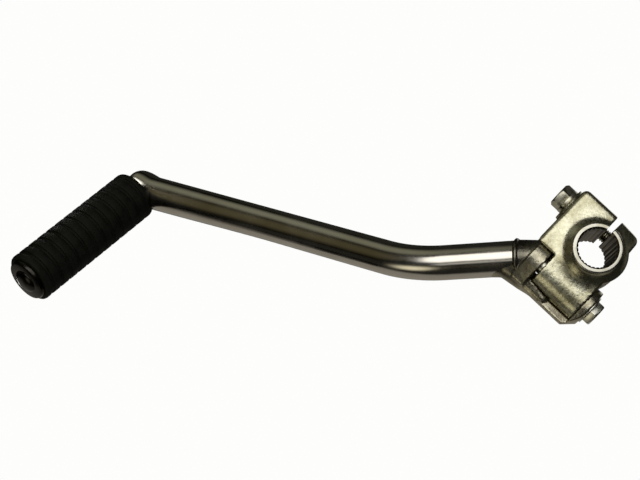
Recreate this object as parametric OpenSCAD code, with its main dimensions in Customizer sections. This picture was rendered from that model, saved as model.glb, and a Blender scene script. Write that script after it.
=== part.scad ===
// Folding kick start lever: a splined clamp boss, a forked arm that folds about
// a cross hinge, and a rubber covered pedal peg.
// Frame: +Y runs along the shaft bore, from the outer face to the inner one, +Z is up,
// the origin is the middle of the bore, and the folded arm lies towards -X.

/* [Splined boss] */
// Diameter over the tips of the bore's teeth
bore_d = 16; // [14:0.5:18]
// Number of teeth round the bore
spline_count = 30; // [20:1:36]
// Depth of the grooves between the teeth
spline_depth = 0.35; // [0.2:0.05:0.5]
// Length of the boss from its flat face to its inner end
boss_len = 26; // [22:0.5:30]
// Height of the collar that stands on the flat face
collar_h = 6; // [4:0.5:8]
// Wall of the collar round the teeth
collar_wall = 2.7; // [2.2:0.1:3.2]
// Radius of the hollow fillet at the collar's foot
collar_fillet = 3.7; // [2:0.1:4]
// Wall of the hub round the teeth
hub_wall = 5.9; // [5.5:0.1:6.5]
// Rounding of the casting's outer edges
edge_r = 2.2; // [1:0.1:2.4]
// Angle of the lugs above the level
boss_lean = 46; // [40:1:52]

/* [Clamp lugs and bolt] */
// Height of the lugs' top above the bore's axis
lug_top = 17.2; // [16.4:0.1:18]
// Distance of the bolt's side wall from the bore's axis
lug_wall = 20.4; // [19:0.1:21]
// Reach of the threaded lug on the other side
lug_reach = 10.8; // [10:0.1:11.6]
// Width of the saw slot
slot_w = 2.6; // [1.5:0.1:3]
// Offset of the slot from the bore's axis
slot_shift = 1.2; // [0:0.1:1.5]
// Thread of the clamp bolt
clamp_d = 6; // [5.5:0.5:6]
// Height of the clamp bolt above the bore's axis
clamp_up = 11.9; // [11.9:0.1:12.2]
// Distance of the clamp bolt in from the middle of the bore
clamp_in = 9.5; // [6:0.5:10]
// Width across the flats of both bolt heads
bolt_af = 10; // [9:0.5:11]
// Height of the clamp bolt's head
clamp_head_h = 4.4; // [3:0.1:5]
// Diameter of the raised seat under the clamp bolt
seat_d = 15.6; // [14:0.2:16]
// Height of the raised seat
seat_h = 1.4; // [0.8:0.1:2]
// Thickness of the spring lock washer
lock_t = 1.6; // [1:0.1:2]
// Outer diameter of the spring lock washer
lock_d = 11.6; // [10:0.2:12]

/* [Hinge] */
// Distance of the hinge's axis from the bore's axis
hinge_out = 18; // [17.5:0.1:20]
// Diameter of the hinge barrel
barrel_d = 18.6; // [17.5:0.1:18.8]
// Barrel's end beside the threaded ear
barrel_near = 10.7; // [10:0.1:11]
// Barrel's end beside the bolt's ear
barrel_far = 11.6; // [11:0.1:13]
// Diameter of the pivot bolt's shoulder
shoulder_d = 7.5; // [7:0.1:8]
// Thread at the pivot bolt's end
pivot_thread_d = 6; // [5:0.5:6]
// Height of the pivot bolt's head
pivot_head_h = 3.4; // [2.5:0.1:4]
// Thickness of the washer under the pivot bolt's head
pivot_washer_t = 0.8; // [0.5:0.1:1.2]
// Outer diameter of that washer
pivot_washer_d = 13.4; // [12:0.2:14]
// Angle that the arm is folded back by, 0 is the kicking position
fold = 64; // [50:1:64]

/* [Yoke] */
// Thickness of the threaded ear
near_ear_t = 6.4; // [6:0.1:8]
// Thickness of the bolt's ear
far_ear_t = 3.2; // [3:0.1:5]
// Gap between the threaded ear and the barrel
near_gap = 1.3; // [1:0.1:1.6]
// Wall of the saddle that joins the ears
saddle_wall = 3.4; // [2.8:0.1:4]
// Side of the saddle towards the kicking side, as an angle about the hinge
saddle_from = -74; // [-76:1:-68]
// Side of the saddle towards the engine, as an angle about the hinge
saddle_to = 8; // [0:1:10]

/* [Arm] */
// Diameter of the round bar
bar_d = 15; // [13:0.5:16]
// Turn of the bar's plane away from square to the hinge
bar_plane = 49.8; // [46:0.2:52]
// Distance of the bar's plane from the hinge's middle
bar_offset = 11.3; // [10.8:0.1:11.8]
// Distance out from the hinge to the bar's root
root_reach = 18; // [17.5:0.5:18.5]
// Distance from the hinge to the bar's root, towards the outer side
root_outset = 3.4; // [3:0.1:4]
// Distance out to the bend
bend_reach = 58.6; // [50:0.2:70]
// Distance of the bend towards the outer side
bend_outset = 24.9; // [20:0.1:30]
// Radius of the bend, at the bar's centre
bend_r = 60; // [30:1:65]
// Distance out to the pedal peg
arm_reach = 227.4; // [160:0.2:260]
// Distance of the elbow towards the outer side
arm_outset = 27.7; // [26:0.1:36]

/* [Pedal] */
// Diameter of the steel peg inside the rubber
peg_d = 12; // [10:0.5:14]
// Length from the elbow to the rubber's outer end
peg_len = 77.6; // [60:0.2:90]
// Outer diameter of the rubber over its ribs
rubber_d = 24.8; // [20:0.2:28]
// Distance from the elbow to the rubber's inner end
rubber_start = 5.4; // [4:0.1:9]
// Spacing of the rubber's ribs
rib_pitch = 5.8; // [4:0.1:8]
// Width of the grooves between the ribs
groove_w = 1.8; // [1:0.1:2.5]
// Depth of the grooves
groove_depth = 0.9; // [0.4:0.1:1.4]
// Diameter of the steel washer at the peg's end
end_washer_d = 21; // [16:0.2:24]
// Thickness of that washer
end_washer_t = 2.2; // [1.5:0.1:3]

/* [Detent] */
// Diameter of the detent ball
ball_d = 4.8; // [4.6:0.1:5]
// Distance of the ball from the hinge's axis
ball_out = 6.9; // [6.8:0.05:7]
// Wire of the detent spring
wire_d = 0.5; // [0.4:0.05:0.6]
// Number of turns of the detent spring
spring_turns = 4; // [3:0.5:5]

/* [Hidden] */
$fn = 96;

// Clearances
seat_gap = 0.02;        // between fixed pieces that fit in each other
run_gap = 0.05;         // shoulder in the barrel
ear_hole_gap = 0.1;     // shoulder in the bolt's ear
bolt_gap = 0.1;         // clamp bolt in its clearance hole
turn_gap = 0.35;        // saddle and ears round the barrel and in the boss's recess
far_gap = 0.15;         // bolt's ear beside the barrel
ball_gap = 0.1;         // ball in its pocket
track_gap = 0.05;       // ball in the ear's track
eps = 0.01;
far = 60;               // cutters run this far

// Boss, in its own directions: x up to the slot, y along the hinge, z along the shaft
bore_r = bore_d / 2;
groove_r = bore_r + spline_depth;
collar_r = bore_r + collar_wall;
hub_r = bore_r + hub_wall;
bore_half = (boss_len + collar_h) / 2;
face_z = collar_h - bore_half;
groove_half = 0.42;     // half width of a spline groove at the tooth tips
spline_inset = 0.3;     // how far a groove's cutter starts inside the wall
rim_edge = 0.4;         // chamfer of the collar's rim
mouth_edge = 0.6;       // chamfer at the bore's mouths
back_edge = 1.5;        // rounding of the casting's inner edges
puck_r = 2.6;           // corner radius of the casting in plan
ear_corner_r = 3;       // rounder corner of the threaded lug
ledge = 13;             // edge of the recess on the flat face
heel = 10;              // lower corner of the casting
heel_side = 9.4;        // and its distance along the hinge
bridge_top = 8;         // where the barrel's back meets the casting
bridge_back = 10;
clamp_end = 9.6;        // where the clamp bolt ends in its lug
seat_shift = 0.7;       // how far the seat's middle lies below the bolt's axis
seat_taper = 4;         // how far the seat's foot draws in along the lug

// Hinge
barrel_r = barrel_d / 2;
shoulder_r = shoulder_d / 2;
near_face = -(barrel_near + near_gap);
near_side = near_face - near_ear_t;
far_face = barrel_far + far_gap;
far_side = far_face + far_ear_t;
recess_r = barrel_r + 2 * turn_gap;
thread_end = near_face - 5;

// Yoke
ear_r = barrel_r;
saddle_in = barrel_r + turn_gap;
yoke_r = saddle_in + saddle_wall;
far_cone = 4.6;         // chamfer round the bolt's ear
near_cone = 0.8;        // chamfer round the threaded ear
neck_r = bar_d / 2 + 0.1;
far_ear_r = ear_r - 0.6;
socket_d = 11;          // turned end of the bar in the yoke
socket_len = 4;
bead_r = 0.9;           // weld bead round the bar's root
gusset_len = 8;         // how far the neck reaches along the bar's outer side
pad_deep = 0.3;         // how deep the neck's hidden feet lie in the saddle
pad_r = 2.2;            // rounding of the neck where it meets the saddle

// Bar
bar_r = bar_d / 2;
jog_angle = atan2(bend_outset - root_outset, bend_reach - root_reach);
run_angle = atan2(arm_outset - bend_outset, arm_reach - bend_reach);
jog_len = norm([bend_outset - root_outset, bend_reach - root_reach]);
run_len = norm([arm_outset - bend_outset, arm_reach - bend_reach]);
bend_thin = 0.12;       // the bend is drawn out a little thinner
bend_lap = 0.5;
bend_cut = bend_r * tan((jog_angle - run_angle) / 2);
knuckle_r = bar_r + 0.5;
knuckle_out = 1.8;      // how far the elbow's knuckle stands out
spigot_d = 8;           // peg's turned end in the washer
rivet_h = 2;            // height of the peened head
rivet_d = 12;

// Detent
ball_r = ball_d / 2;
ball_proud = 0.5;       // how far the ball sits in the ear
ball_y = near_face - ball_proud + ball_r;
track_depth = ball_proud + track_gap;
track_half = sqrt(pow(ball_r, 2) - pow(ball_r - ball_proud, 2)) + track_gap;
end_wide = 0.15;        // the track's ends are a little wider
dimple_depth = 0.25;    // extra depth at both ends of the track
dimple_r = sqrt(pow(ball_r, 2) - pow(ball_r - dimple_depth, 2)) + track_gap;
pocket_r = ball_r + ball_gap;
pocket_end = -4.2;
coil_r = 1.85;
coil_front = ball_y + sqrt(pow(ball_r + wire_d / 2, 2) - coil_r * coil_r) + track_gap;
coil_back = pocket_end - wire_d / 2;

// Turns the boss's directions into the row's
module in_boss() rotate([0, -boss_lean, 0]) rotate([-90, 0, 0]) children();

// The arm's directions: the same, about the hinge, folded back
module in_arm() in_boss() translate([-hinge_out, 0, 0]) rotate([0, fold, 0]) children();

// Along the hinge: z runs along it from the threaded ear to the bolt's head
module on_hinge() rotate([-90, 0, 0]) children();

// The bar's plane: x out along the arm, -z towards the outer side
module in_bar() in_arm() rotate([0, 0, 180 + bar_plane]) translate([0, bar_offset, 0]) children();

// A point about the hinge, at an angle from the arm's side towards the engine
function about(r, angle) = r * [cos(180 + angle), sin(180 + angle)];

// Half of a rounded edge, as points from the flat to the side
function round_edge(r, z, e, side) =
    [for (k = [0:4]) let (a = k * 22.5) [r - e + e * sin(a), z + side * (e - e * cos(a))]];

// One rounded corner of the casting
module puck(x, y, r) {
    front = round_edge(r, face_z, min(edge_r, r), 1);
    back = round_edge(r, bore_half, back_edge, -1);
    translate([x, y, 0])
        rotate_extrude($fn = 32)
            polygon(concat([[0, face_z]], front, [for (k = [4:-1:0]) back[k]], [[0, bore_half]]));
}

module lug_block() {
    low = -ledge - puck_r;
    hull() {
        puck(low + puck_r, -lug_wall + puck_r, puck_r);
        puck(lug_top - puck_r, -lug_wall + puck_r, puck_r);
        puck(lug_top - ear_corner_r, lug_reach - ear_corner_r, ear_corner_r);
        puck(-heel, heel_side, puck_r);
        puck(low + puck_r, -barrel_near + puck_r, puck_r);
    }
}

module collar() {
    fillet_z = face_z - collar_fillet;
    arc = [for (k = [0:8]) let (a = k * 90 / 8)
        [collar_r + collar_fillet * (1 - cos(a)), fillet_z + collar_fillet * sin(a)]];
    rotate_extrude()
        polygon(concat(
            [[bore_r - 1, face_z + 1], [bore_r - 1, -bore_half], [collar_r - rim_edge, -bore_half],
             [collar_r, rim_edge - bore_half]],
            arc,
            [[collar_r + collar_fillet, face_z + 1]]));
}

// The barrel and the web that carries it
module barrel() {
    web_dist = norm([hinge_out - bridge_top, bridge_back]);
    web_turn = atan2(bridge_back, hinge_out - bridge_top) + acos(barrel_r / web_dist);
    on_hinge() {
        translate([-hinge_out, 0, -barrel_near])
            cylinder(r = barrel_r, h = barrel_near + barrel_far);
        translate([0, 0, -barrel_near])
            linear_extrude(barrel_near + barrel_far)
                polygon([
                    [-hinge_out, 0],
                    [-hinge_out, barrel_r],
                    [-ledge, -face_z],
                    [-bridge_top, -face_z],
                    [-bridge_top, -bridge_back],
                    [-hinge_out + barrel_r * cos(web_turn), -barrel_r * sin(web_turn)]
                ]);
    }
}

module spline_grooves() {
    foot = groove_half * (spline_depth + spline_inset) / spline_depth;
    for (k = [0:spline_count - 1])
        rotate([0, 0, k * 360 / spline_count])
            translate([0, 0, -bore_half - 1])
                linear_extrude(2 * bore_half + 2)
                    polygon([[bore_r - spline_inset, -foot], [groove_r, 0], [bore_r - spline_inset, foot]]);
}

module bore_mouths() {
    for (side = [-1, 1])
        scale([1, 1, side])
            translate([0, 0, bore_half - mouth_edge])
                cylinder(r1 = bore_r, r2 = bore_r + 2 * mouth_edge, h = 2 * mouth_edge);
}

module kick_boss() {
    color([0.80, 0.78, 0.66])
    in_boss()
        difference() {
            union() {
                lug_block();
                collar();
                translate([0, 0, face_z])
                    cylinder(r = hub_r, h = boss_len - back_edge);
                translate([0, 0, bore_half - back_edge])
                    cylinder(r1 = hub_r, r2 = hub_r - back_edge, h = back_edge);
                barrel();
                // raised seat for the clamp bolt
                translate([clamp_up - seat_shift, 0, clamp_in])
                    on_hinge()
                        translate([0, 0, -lug_wall - seat_h]) {
                            cylinder(d = seat_d, h = seat_h + puck_r);
                            translate([0, 0, seat_h + puck_r])
                                cylinder(d1 = seat_d, d2 = seat_d - seat_taper, h = seat_taper);
                        }
            }
            // shaft bore with its splines
            translate([0, 0, -bore_half - 1])
                cylinder(r = bore_r, h = 2 * bore_half + 2);
            spline_grooves();
            bore_mouths();
            // saw slot between the lugs
            translate([bore_r - 3, -slot_shift - slot_w / 2, -far / 2])
                cube([far / 2, slot_w, far]);
            // clamp bolt: clear hole, then thread
            translate([clamp_up, 0, clamp_in])
                on_hinge() {
                    translate([0, 0, -far])
                        cylinder(d = clamp_d + 2 * bolt_gap, h = far - slot_shift);
                    translate([0, 0, -slot_shift])
                        cylinder(d = clamp_d + 2 * seat_gap, h = far);
                }
            // recess for the threaded ear
            translate([-hinge_out, 0, 0])
                on_hinge()
                    translate([0, 0, -far])
                        cylinder(r = recess_r, h = far - barrel_near);
            translate([-ledge - far, -far, -far / 2])
                cube([far, far - barrel_near, far]);
            // what the bolt's ear swings past
            translate([-hinge_out, 0, 0])
                on_hinge()
                    translate([0, 0, barrel_far])
                        cylinder(r = recess_r, h = far);
            // hinge hole
            translate([-hinge_out, 0, 0])
                on_hinge()
                    translate([0, 0, -far / 2])
                        cylinder(r = shoulder_r + run_gap, h = far);
            // pocket of the detent ball
            translate([ball_out - hinge_out, 0, 0])
                on_hinge()
                    translate([0, 0, -far])
                        cylinder(r = pocket_r, h = far + pocket_end);
        }
}

// A hex head with its corners turned off, standing on z = 0
module hex_head(h) {
    intersection() {
        cylinder(d = bolt_af / cos(30), h = h, $fn = 6);
        cylinder(r1 = bolt_af / 2 + h, r2 = bolt_af / 2 - 0.2, h = h);
    }
}

module clamp_bolt() {
    head = -lug_wall - seat_h - lock_t;
    color([0.62, 0.61, 0.58])
    in_boss()
        translate([clamp_up, 0, clamp_in])
            on_hinge() {
                translate([0, 0, head]) rotate([180, 0, 0]) hex_head(clamp_head_h);
                translate([0, 0, head]) cylinder(d = clamp_d, h = clamp_end - head - 1);
                translate([0, 0, clamp_end - 1]) cylinder(d1 = clamp_d, d2 = clamp_d - 2, h = 1);
            }
}

module clamp_washer() {
    split_w = 1;
    color([0.45, 0.45, 0.44])
    in_boss()
        translate([clamp_up, 0, clamp_in])
            on_hinge()
                translate([0, 0, -lug_wall - seat_h - lock_t])
                    difference() {
                        cylinder(d = lock_d, h = lock_t);
                        translate([0, 0, -1]) cylinder(d = clamp_d + 4 * bolt_gap, h = lock_t + 2);
                        // the split
                        rotate([0, 0, 140])
                            translate([0, -split_w / 2, -1])
                                cube([lock_d, split_w, lock_t + 2]);
                    }
}

// Side view of an ear: a disc and the lobe that carries the saddle
module ear_outline(r) {
    mid = (saddle_from + saddle_to) / 2;
    circle(r = r);
    intersection() {
        circle(r = yoke_r + 1);
        polygon([
            [0, 0],
            about(r, saddle_from - acos(r / (yoke_r + 1))),
            about(yoke_r + 1, saddle_from),
            about(2 * yoke_r, mid),
            about(yoke_r + 1, saddle_to),
            about(r, saddle_to + acos(r / (yoke_r + 1)))
        ]);
    }
}

// The two ears and the saddle, with their outer edges turned off
module fork() {
    on_hinge()
        intersection() {
            union() {
                translate([0, 0, near_side]) linear_extrude(near_ear_t) ear_outline(ear_r);
                translate([0, 0, far_face]) linear_extrude(far_ear_t) ear_outline(far_ear_r);
                rotate([0, 0, 180 + saddle_from])
                    rotate_extrude(angle = saddle_to - saddle_from)
                        translate([saddle_in - 1, near_side - 1])
                            square([saddle_wall + 2, far_side - near_side + 2]);
            }
            rotate_extrude()
                polygon([
                    [0, near_side],
                    [yoke_r - near_cone, near_side],
                    [yoke_r, near_side + near_cone],
                    [yoke_r, far_side - far_cone],
                    [yoke_r - far_cone, far_side],
                    [0, far_side]
                ]);
        }
}

module pad(angle, along) {
    p = about(yoke_r - pad_r - pad_deep, angle);
    on_hinge() translate([p[0], p[1], along]) sphere(r = pad_r, $fn = 24);
}

// The end face of the neck, square to the bar
module neck_face(r, back, h) {
    in_bar_plane()
        translate([root_reach, 0, -root_outset])
            rotate([0, 90 + jog_angle, 0])
                translate([0, 0, -back])
                    cylinder(r = r, h = h, $fn = 32);
}

module in_bar_plane() rotate([0, 0, 180 + bar_plane]) translate([0, bar_offset, 0]) children();

// The forged neck between the bar and the fork
module neck() {
    shoulder_len = 3;
    hull() {
        neck_face(neck_r, 2, 2);
        pad(saddle_from, near_side + pad_r + near_cone);
        pad(saddle_to, near_side + pad_r + near_cone);
        on_hinge()
            translate([0, 0, near_side])
                cylinder(r = ear_r - 1, h = shoulder_len, $fn = 32);
    }
    hull() {
        neck_face(neck_r - 1.5, 2, 4);
        pad(saddle_from + 6, near_face + 6);
        pad(saddle_to - 6, near_face + 6);
        pad((saddle_from + saddle_to) / 2, near_face + 8);
    }
    // flare under the bar
    hull() {
        neck_face(bar_r - 1.2, -gusset_len, 1);
        neck_face(bar_r, 0, 1);
        pad(saddle_from, near_side + pad_r + near_cone);
        pad(saddle_from + 16, near_side + pad_r + near_cone);
        pad(saddle_from + 6, near_face + 10);
    }
}

module weld_bead() {
    in_bar_plane()
        translate([root_reach, 0, -root_outset])
            rotate([0, 90 + jog_angle, 0])
                rotate_extrude()
                    translate([bar_r, 0])
                        circle(r = bead_r, $fn = 24);
}

module arm_yoke() {
    color([0.50, 0.48, 0.43])
    in_arm()
        difference() {
            union() {
                fork();
                neck();
                weld_bead();
            }
            // room for the barrel
            on_hinge()
                translate([0, 0, near_face])
                    cylinder(r = saddle_in, h = far_face - near_face);
            // pivot bolt: hole in the far ear, thread in the near one
            on_hinge() {
                translate([0, 0, 0]) cylinder(r = shoulder_r + ear_hole_gap, h = far);
                translate([0, 0, thread_end - 0.6])
                    cylinder(d = pivot_thread_d + 2 * seat_gap, h = far);
            }
            // the bar and its turned end
            in_bar_plane()
                translate([root_reach, 0, -root_outset])
                    rotate([0, 90 + jog_angle, 0]) {
                        cylinder(r = bar_r + seat_gap, h = far);
                        translate([0, 0, -socket_len - 0.2])
                            cylinder(d = socket_d + 2 * seat_gap, h = far);
                    }
            // track of the detent ball, with a dimple at each end
            on_hinge() {
                rotate([0, 0, 360 - fold])
                    rotate_extrude(angle = fold)
                        translate([ball_out - track_half, near_face - track_depth])
                            square([2 * track_half, 1]);
                for (turn = [0, -fold])
                    rotate([0, 0, turn])
                        translate([ball_out, 0, near_face - track_depth]) {
                            cylinder(r = track_half + end_wide, h = 1);
                            translate([0, 0, -dimple_depth]) cylinder(r = dimple_r, h = 1);
                        }
            }
        }
}

// A bend in the bar's plane, between two directions seen from its centre
module bend(centre, from, to) {
    translate([centre[0], 0, centre[1]])
        rotate([-90, 0, 0])
            rotate([0, 0, -to])
                rotate_extrude(angle = to - from)
                    translate([bend_r, 0])
                        circle(r = bar_r - bend_thin);
}

// Upset knuckle at the elbow
module knuckle(r) {
    out = (90 + run_angle) / 2;
    translate(knuckle_out * [cos(out - run_angle), 0, sin(out - run_angle)])
        sphere(r = r);
}

module arm_bar() {
    start = [bend_reach - bend_cut * cos(jog_angle), -bend_outset + bend_cut * sin(jog_angle)];
    centre = start + bend_r * [sin(jog_angle), cos(jog_angle)];
    color([0.55, 0.54, 0.50])
    in_bar() {
        translate([root_reach, 0, -root_outset])
            rotate([0, 90 + jog_angle, 0]) {
                cylinder(r = bar_r, h = jog_len - bend_cut + bend_lap);
                translate([0, 0, -socket_len]) cylinder(d = socket_d, h = socket_len + eps);
            }
        bend(centre, -90 - jog_angle, -90 - run_angle);
        translate([arm_reach, 0, -arm_outset]) {
            rotate([0, -90 + run_angle, 0])
                cylinder(r = bar_r, h = run_len - bend_cut + bend_lap);
            knuckle(knuckle_r);
            // peg, its turned end and the peened head
            translate([0, 0, -peg_len])
                cylinder(d = peg_d, h = peg_len);
            translate([0, 0, -peg_len - end_washer_t - eps])
                cylinder(d = spigot_d, h = end_washer_t + 2 * eps);
            translate([0, 0, -peg_len - end_washer_t - rivet_h])
                rivet_head();
        }
    }
}

// Low dome of the peened head
module rivet_head() {
    dome_r = (rivet_h * rivet_h + rivet_d * rivet_d / 4) / (2 * rivet_h);
    intersection() {
        translate([0, 0, dome_r]) sphere(r = dome_r);
        cylinder(d = rivet_d, h = rivet_h);
    }
}

module pivot_bolt() {
    head = far_side + pivot_washer_t;
    color([0.66, 0.65, 0.62])
    in_arm()
        on_hinge() {
            translate([0, 0, head]) hex_head(pivot_head_h);
            translate([0, 0, near_face]) cylinder(r = shoulder_r, h = head - near_face + eps);
            translate([0, 0, thread_end]) cylinder(d = pivot_thread_d, h = near_face - thread_end + eps);
        }
}

module pivot_washer() {
    color([0.58, 0.57, 0.54])
    in_arm()
        on_hinge()
            translate([0, 0, far_side])
                difference() {
                    cylinder(d = pivot_washer_d, h = pivot_washer_t);
                    translate([0, 0, -1]) cylinder(r = shoulder_r + ear_hole_gap, h = pivot_washer_t + 2);
                }
}

module detent_ball() {
    color([0.75, 0.75, 0.75])
    in_boss()
        translate([ball_out - hinge_out, ball_y, 0])
            sphere(r = ball_r, $fn = 48);
}

// Points of one ring of the coiled wire
function coil_ring(t, sides) = let (
    a = 360 * spring_turns * t,
    along = coil_front + (coil_back - coil_front) * t)
    [for (s = [0:sides - 1]) let (b = 360 * s / sides)
        [(coil_r + wire_d / 2 * cos(b)) * cos(a),
         (coil_r + wire_d / 2 * cos(b)) * sin(a),
         along + wire_d / 2 * sin(b)]];

module detent_spring() {
    sides = 8;
    rings = 16 * spring_turns;
    points = [for (k = [0:rings]) each coil_ring(k / rings, sides)];
    walls = [for (k = [0:rings - 1]) for (s = [0:sides - 1])
        [k * sides + s, k * sides + (s + 1) % sides,
         (k + 1) * sides + (s + 1) % sides, (k + 1) * sides + s]];
    ends = [[for (s = [sides - 1:-1:0]) s], [for (s = [0:sides - 1]) rings * sides + s]];
    color([0.5, 0.5, 0.5])
    in_boss()
        translate([ball_out - hinge_out, 0, 0])
            on_hinge()
                polyhedron(points = points, faces = concat(walls, ends));
}

// Half section of the rubber, from its inner end outwards
module pedal_rubber() {
    length = peg_len - rubber_start;
    ribs = floor((length - groove_w) / rib_pitch);
    margin = (length - (ribs - 1) * rib_pitch) / 2;
    end_r = 0.8;
    rubber_r = rubber_d / 2;
    color([0.06, 0.06, 0.06])
    in_bar()
        translate([arm_reach, 0, -arm_outset])
            difference() {
                translate([0, 0, -peg_len])
                    difference() {
                        union() {
                            translate([0, 0, end_r]) cylinder(r = rubber_r, h = length - 2 * end_r);
                            cylinder(r1 = rubber_r - end_r, r2 = rubber_r, h = end_r + eps);
                            translate([0, 0, length - end_r - eps])
                                cylinder(r1 = rubber_r, r2 = rubber_r - end_r, h = end_r);
                        }
                        translate([0, 0, -1]) cylinder(d = peg_d + 2 * seat_gap, h = length + 2);
                        for (k = [0:ribs - 1])
                            translate([0, 0, margin + k * rib_pitch - groove_w / 2])
                                difference() {
                                    cylinder(r = rubber_r + 1, h = groove_w);
                                    translate([0, 0, -1])
                                        cylinder(r = rubber_r - groove_depth, h = groove_w + 2);
                                }
                    }
                // the inner end fits round the bar
                rotate([0, -90 + run_angle, 0]) cylinder(r = bar_r + seat_gap, h = far);
                knuckle(knuckle_r + seat_gap);
            }
}

module pedal_washer() {
    color([0.62, 0.61, 0.58])
    in_bar()
        translate([arm_reach, 0, -arm_outset - peg_len - end_washer_t])
            difference() {
                union() {
                    translate([0, 0, end_washer_t / 2]) cylinder(d = end_washer_d, h = end_washer_t / 2);
                    cylinder(d1 = end_washer_d - end_washer_t, d2 = end_washer_d, h = end_washer_t / 2 + eps);
                }
                translate([0, 0, -1]) cylinder(d = spigot_d + 2 * seat_gap, h = end_washer_t + 2);
            }
}

kick_boss();
clamp_bolt();
clamp_washer();
arm_yoke();
arm_bar();
pivot_bolt();
pivot_washer();
detent_ball();
detent_spring();
pedal_rubber();
pedal_washer();
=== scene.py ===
import math
import bpy
from mathutils import Matrix, Vector


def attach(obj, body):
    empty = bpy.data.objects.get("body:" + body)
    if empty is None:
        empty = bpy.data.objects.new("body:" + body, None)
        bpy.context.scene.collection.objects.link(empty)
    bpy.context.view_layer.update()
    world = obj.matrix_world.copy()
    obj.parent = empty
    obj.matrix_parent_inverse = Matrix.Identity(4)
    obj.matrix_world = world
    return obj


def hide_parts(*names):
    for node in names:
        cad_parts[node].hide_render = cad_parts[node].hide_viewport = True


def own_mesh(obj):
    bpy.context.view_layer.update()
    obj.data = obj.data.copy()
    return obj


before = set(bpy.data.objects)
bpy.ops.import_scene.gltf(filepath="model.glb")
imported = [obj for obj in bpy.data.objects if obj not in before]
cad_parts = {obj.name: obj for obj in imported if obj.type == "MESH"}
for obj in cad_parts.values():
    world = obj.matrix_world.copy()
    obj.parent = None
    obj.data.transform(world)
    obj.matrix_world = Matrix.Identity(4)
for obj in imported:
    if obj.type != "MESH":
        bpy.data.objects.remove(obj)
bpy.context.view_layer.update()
mm = 0.001
print("frame loaded")

# the part's own directions, as in its source: millimetres and degrees
layout = {
    "lean": 46,
    "fold": 64,
    "hingeOut": 18,
    "barPlane": 49.8,
    "barOffset": 11.3,
}


def turned(angle, axis):
    return Matrix.Rotation(math.radians(angle), 4, axis)


# x up to the slot, y along the hinge, z along the shaft
bossFrame = turned(-layout["lean"], "Y") @ turned(-90, "X")
# the arm's, about the hinge
armFrame = bossFrame @ Matrix.Translation((-layout["hingeOut"] * mm, 0, 0)) @ turned(layout["fold"], "Y")
# x out along the arm, z towards the engine, in the plane of the bar
barFrame = (armFrame @ turned(180 + layout["barPlane"], "Z")
            @ Matrix.Translation((0, layout["barOffset"] * mm, 0)))
# z along the hinge bolt, from the threaded ear to the head
hingeFrame = armFrame @ turned(-90, "X")


# small helpers

def deselectAll():
    if bpy.context.object and bpy.context.object.mode != "OBJECT":
        bpy.ops.object.mode_set(mode="OBJECT")
    bpy.ops.object.select_all(action="DESELECT")


def pick(obj):
    deselectAll()
    obj.select_set(True)
    bpy.context.view_layer.objects.active = obj
    return obj


def newest(name):
    obj = bpy.context.object
    obj.name = name
    obj.data.name = name
    return obj


# puts a piece made in one of the part's own directions into place, and bakes that in
def settle(obj, place):
    pick(obj)
    obj.matrix_world = place
    bpy.ops.object.transform_apply(location=True, rotation=True, scale=True)
    return obj


def outward(obj):
    pick(obj)
    bpy.ops.object.mode_set(mode="EDIT")
    bpy.ops.mesh.select_all(action="SELECT")
    bpy.ops.mesh.remove_doubles(threshold=1e-6)
    bpy.ops.mesh.normals_make_consistent(inside=False)
    bpy.ops.object.mode_set(mode="OBJECT")


def softShade(obj, angle=35):
    pick(obj)
    bpy.ops.object.shade_smooth_by_angle(angle=math.radians(angle))


def apply(obj, modifier):
    pick(obj)
    bpy.ops.object.modifier_apply(modifier=modifier.name)


def cutAway(obj, tool):
    cut = obj.modifiers.new("cut", "BOOLEAN")
    cut.operation = "DIFFERENCE"
    cut.solver = "EXACT"
    cut.object = tool
    apply(obj, cut)
    bpy.data.objects.remove(tool)


def roundEdges(obj, width, segments=2, angle=30):
    edge = obj.modifiers.new("edges", "BEVEL")
    edge.width = width * mm
    edge.segments = segments
    edge.limit_method = "ANGLE"
    edge.angle_limit = math.radians(angle)
    edge.harden_normals = False
    apply(obj, edge)


def joinPieces(first, *others):
    pick(first)
    for obj in others:
        obj.select_set(True)
    bpy.ops.object.join()
    return first


# turns a half section, radius and height in millimetres, once round z
def turnedPiece(name, section, steps=96, closed=False):
    bpy.ops.mesh.primitive_circle_add(vertices=len(section), radius=mm, fill_type="NOTHING")
    obj = newest(name)
    for vert, (r, z) in zip(obj.data.vertices, section):
        vert.co = (r * mm, 0, z * mm)
    bpy.ops.object.mode_set(mode="EDIT")
    bpy.ops.mesh.select_all(action="DESELECT")
    bpy.ops.object.mode_set(mode="OBJECT")
    if not closed:
        last = len(section) - 1
        for edge in obj.data.edges:
            edge.select = set(edge.vertices) == {0, last}
        bpy.ops.object.mode_set(mode="EDIT")
        bpy.ops.mesh.select_mode(type="EDGE")
        bpy.ops.object.mode_set(mode="OBJECT")
        for edge in obj.data.edges:
            edge.select = set(edge.vertices) == {0, last}
        bpy.ops.object.mode_set(mode="EDIT")
        bpy.ops.mesh.delete(type="EDGE")
    else:
        bpy.ops.object.mode_set(mode="EDIT")
    bpy.ops.mesh.select_all(action="SELECT")
    bpy.ops.mesh.spin(steps=steps, angle=math.radians(360), center=(0, 0, 0), axis=(0, 0, 1))
    bpy.ops.mesh.select_all(action="SELECT")
    bpy.ops.mesh.remove_doubles(threshold=2e-6)
    bpy.ops.mesh.normals_make_consistent(inside=False)
    bpy.ops.object.mode_set(mode="OBJECT")
    return obj


def finishPiece(obj, place, body, material, nodes=(), angle=35):
    settle(obj, place)
    softShade(obj, angle)
    obj.data.materials.clear()
    obj.data.materials.append(material)
    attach(obj, body)
    if nodes:
        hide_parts(*nodes)


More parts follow.
